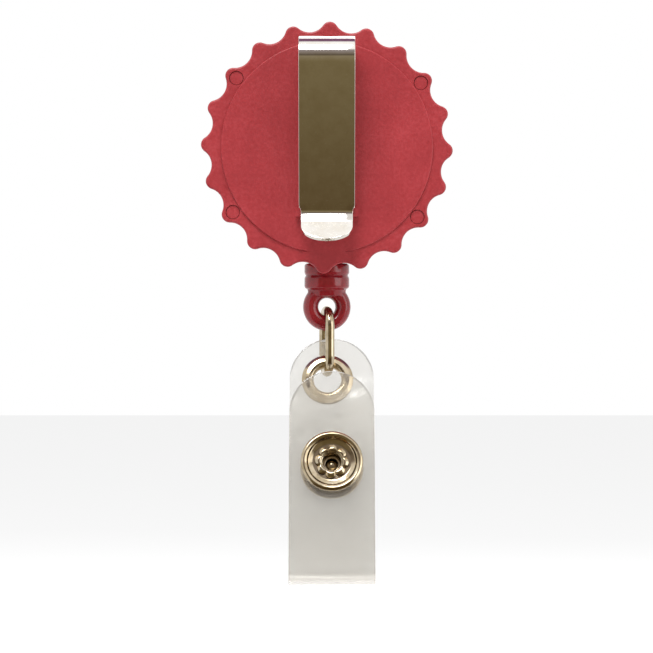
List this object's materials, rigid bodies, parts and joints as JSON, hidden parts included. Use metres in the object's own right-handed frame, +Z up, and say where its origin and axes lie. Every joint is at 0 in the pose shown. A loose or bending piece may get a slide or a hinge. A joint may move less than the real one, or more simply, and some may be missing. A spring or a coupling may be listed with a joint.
{
  "type": "retractable badge reel",
  "caption": "Round badge reel with a lobed rim: a spring clip holds it on a belt, and its sprung cord draws a clear snap strap that holds a badge.",
  "frame": {"origin": "centre of the rear cover's outer face, which the belt clip stands on", "axes": "+Z up as the reel hangs when worn, +Y along the reel's axis from the belt clip to the label face"},
  "size_m": [0.038, 0.0191, 0.084],
  "materials": {
    "case_red": "satin moulded",
    "fitting_red": "gloss moulded",
    "clip_nickel": "bright nickel plate",
    "snap_nickel": "bright nickel plate, warm",
    "clear_vinyl": "clear, slightly hazy",
    "spool_white": "natural",
    "spring_steel": "blue-grey",
    "cord_nylon": "braided"
  },
  "bodies": {
    "case": {"rear_cover": "case_red", "front_cover": "case_red", "clip_rear_leg": "clip_nickel", "clip_rivet": "clip_nickel", "cord_run": "cord_nylon"},
    "spool": {"spool": "spool_white", "spring_cover": "spool_white", "power_spring": "spring_steel", "wound_cord": "cord_nylon"},
    "cord_tail": {"cord_lead": "cord_nylon", "cord_knot": "cord_nylon"},
    "fitting": {"cord_end_fitting": "fitting_red"},
    "link": {"link_ring": "snap_nickel"},
    "strap": {"strap_rear": "clear_vinyl", "strap_eyelet": "snap_nickel", "eyelet_washer": "snap_nickel", "snap_stud": "snap_nickel", "snap_cap": "snap_nickel"},
    "flap": {"strap_flap": "clear_vinyl", "snap_ring": "snap_nickel", "snap_socket": "snap_nickel", "snap_spring": "spring_steel"},
    "clip_jaw": {"clip_front_leg": "clip_nickel"}
  },
  "joints": [
    {"name": "cord_pull", "type": "slide", "parent": "case", "child": "cord_tail", "axis": [0, 0, -1], "range_m": [0, 0.75], "stiffness_N_per_m": 0.5, "springref_m": -3},
    {"name": "spool_spin", "type": "hinge", "parent": "case", "child": "spool", "pos_m": [0, 0.0052, 0], "axis": [0, -1, 0], "range_deg": [0, 4000], "deforming": ["power_spring"]},
    {"name": "fitting_twist", "type": "hinge", "parent": "cord_tail", "child": "fitting", "pos_m": [0, 0.0052, -0.0194], "axis": [0, 0, 1], "range_deg": [-180, 180]},
    {"name": "link_swing", "type": "hinge", "parent": "fitting", "child": "link", "pos_m": [0, 0.0052, -0.024], "axis": [-0.1736, 0.9848, 0], "range_deg": [-85, 85]},
    {"name": "strap_swing", "type": "hinge", "parent": "link", "child": "strap", "pos_m": [0, 0.0052, -0.03134], "axis": [0.9848, 0.1736, 0], "range_deg": [-25, 65]},
    {"name": "flap_open", "type": "hinge", "parent": "strap", "child": "flap", "pos_m": [0.00075, -0.00896, -0.06235], "axis": [1, 0, 0], "range_deg": [0, 120]},
    {"name": "clip_open", "type": "hinge", "parent": "case", "child": "clip_jaw", "pos_m": [0, -0.0037, 0.01598], "axis": [-1, 0, 0], "range_deg": [0, 12], "stiffness_Nm_per_rad": 1, "springref_deg": -2.86}
  ],
  "couplings": [
    {"joint": "spool_spin", "follows": "cord_pull", "rad_per_m": 91.74}
  ]
}
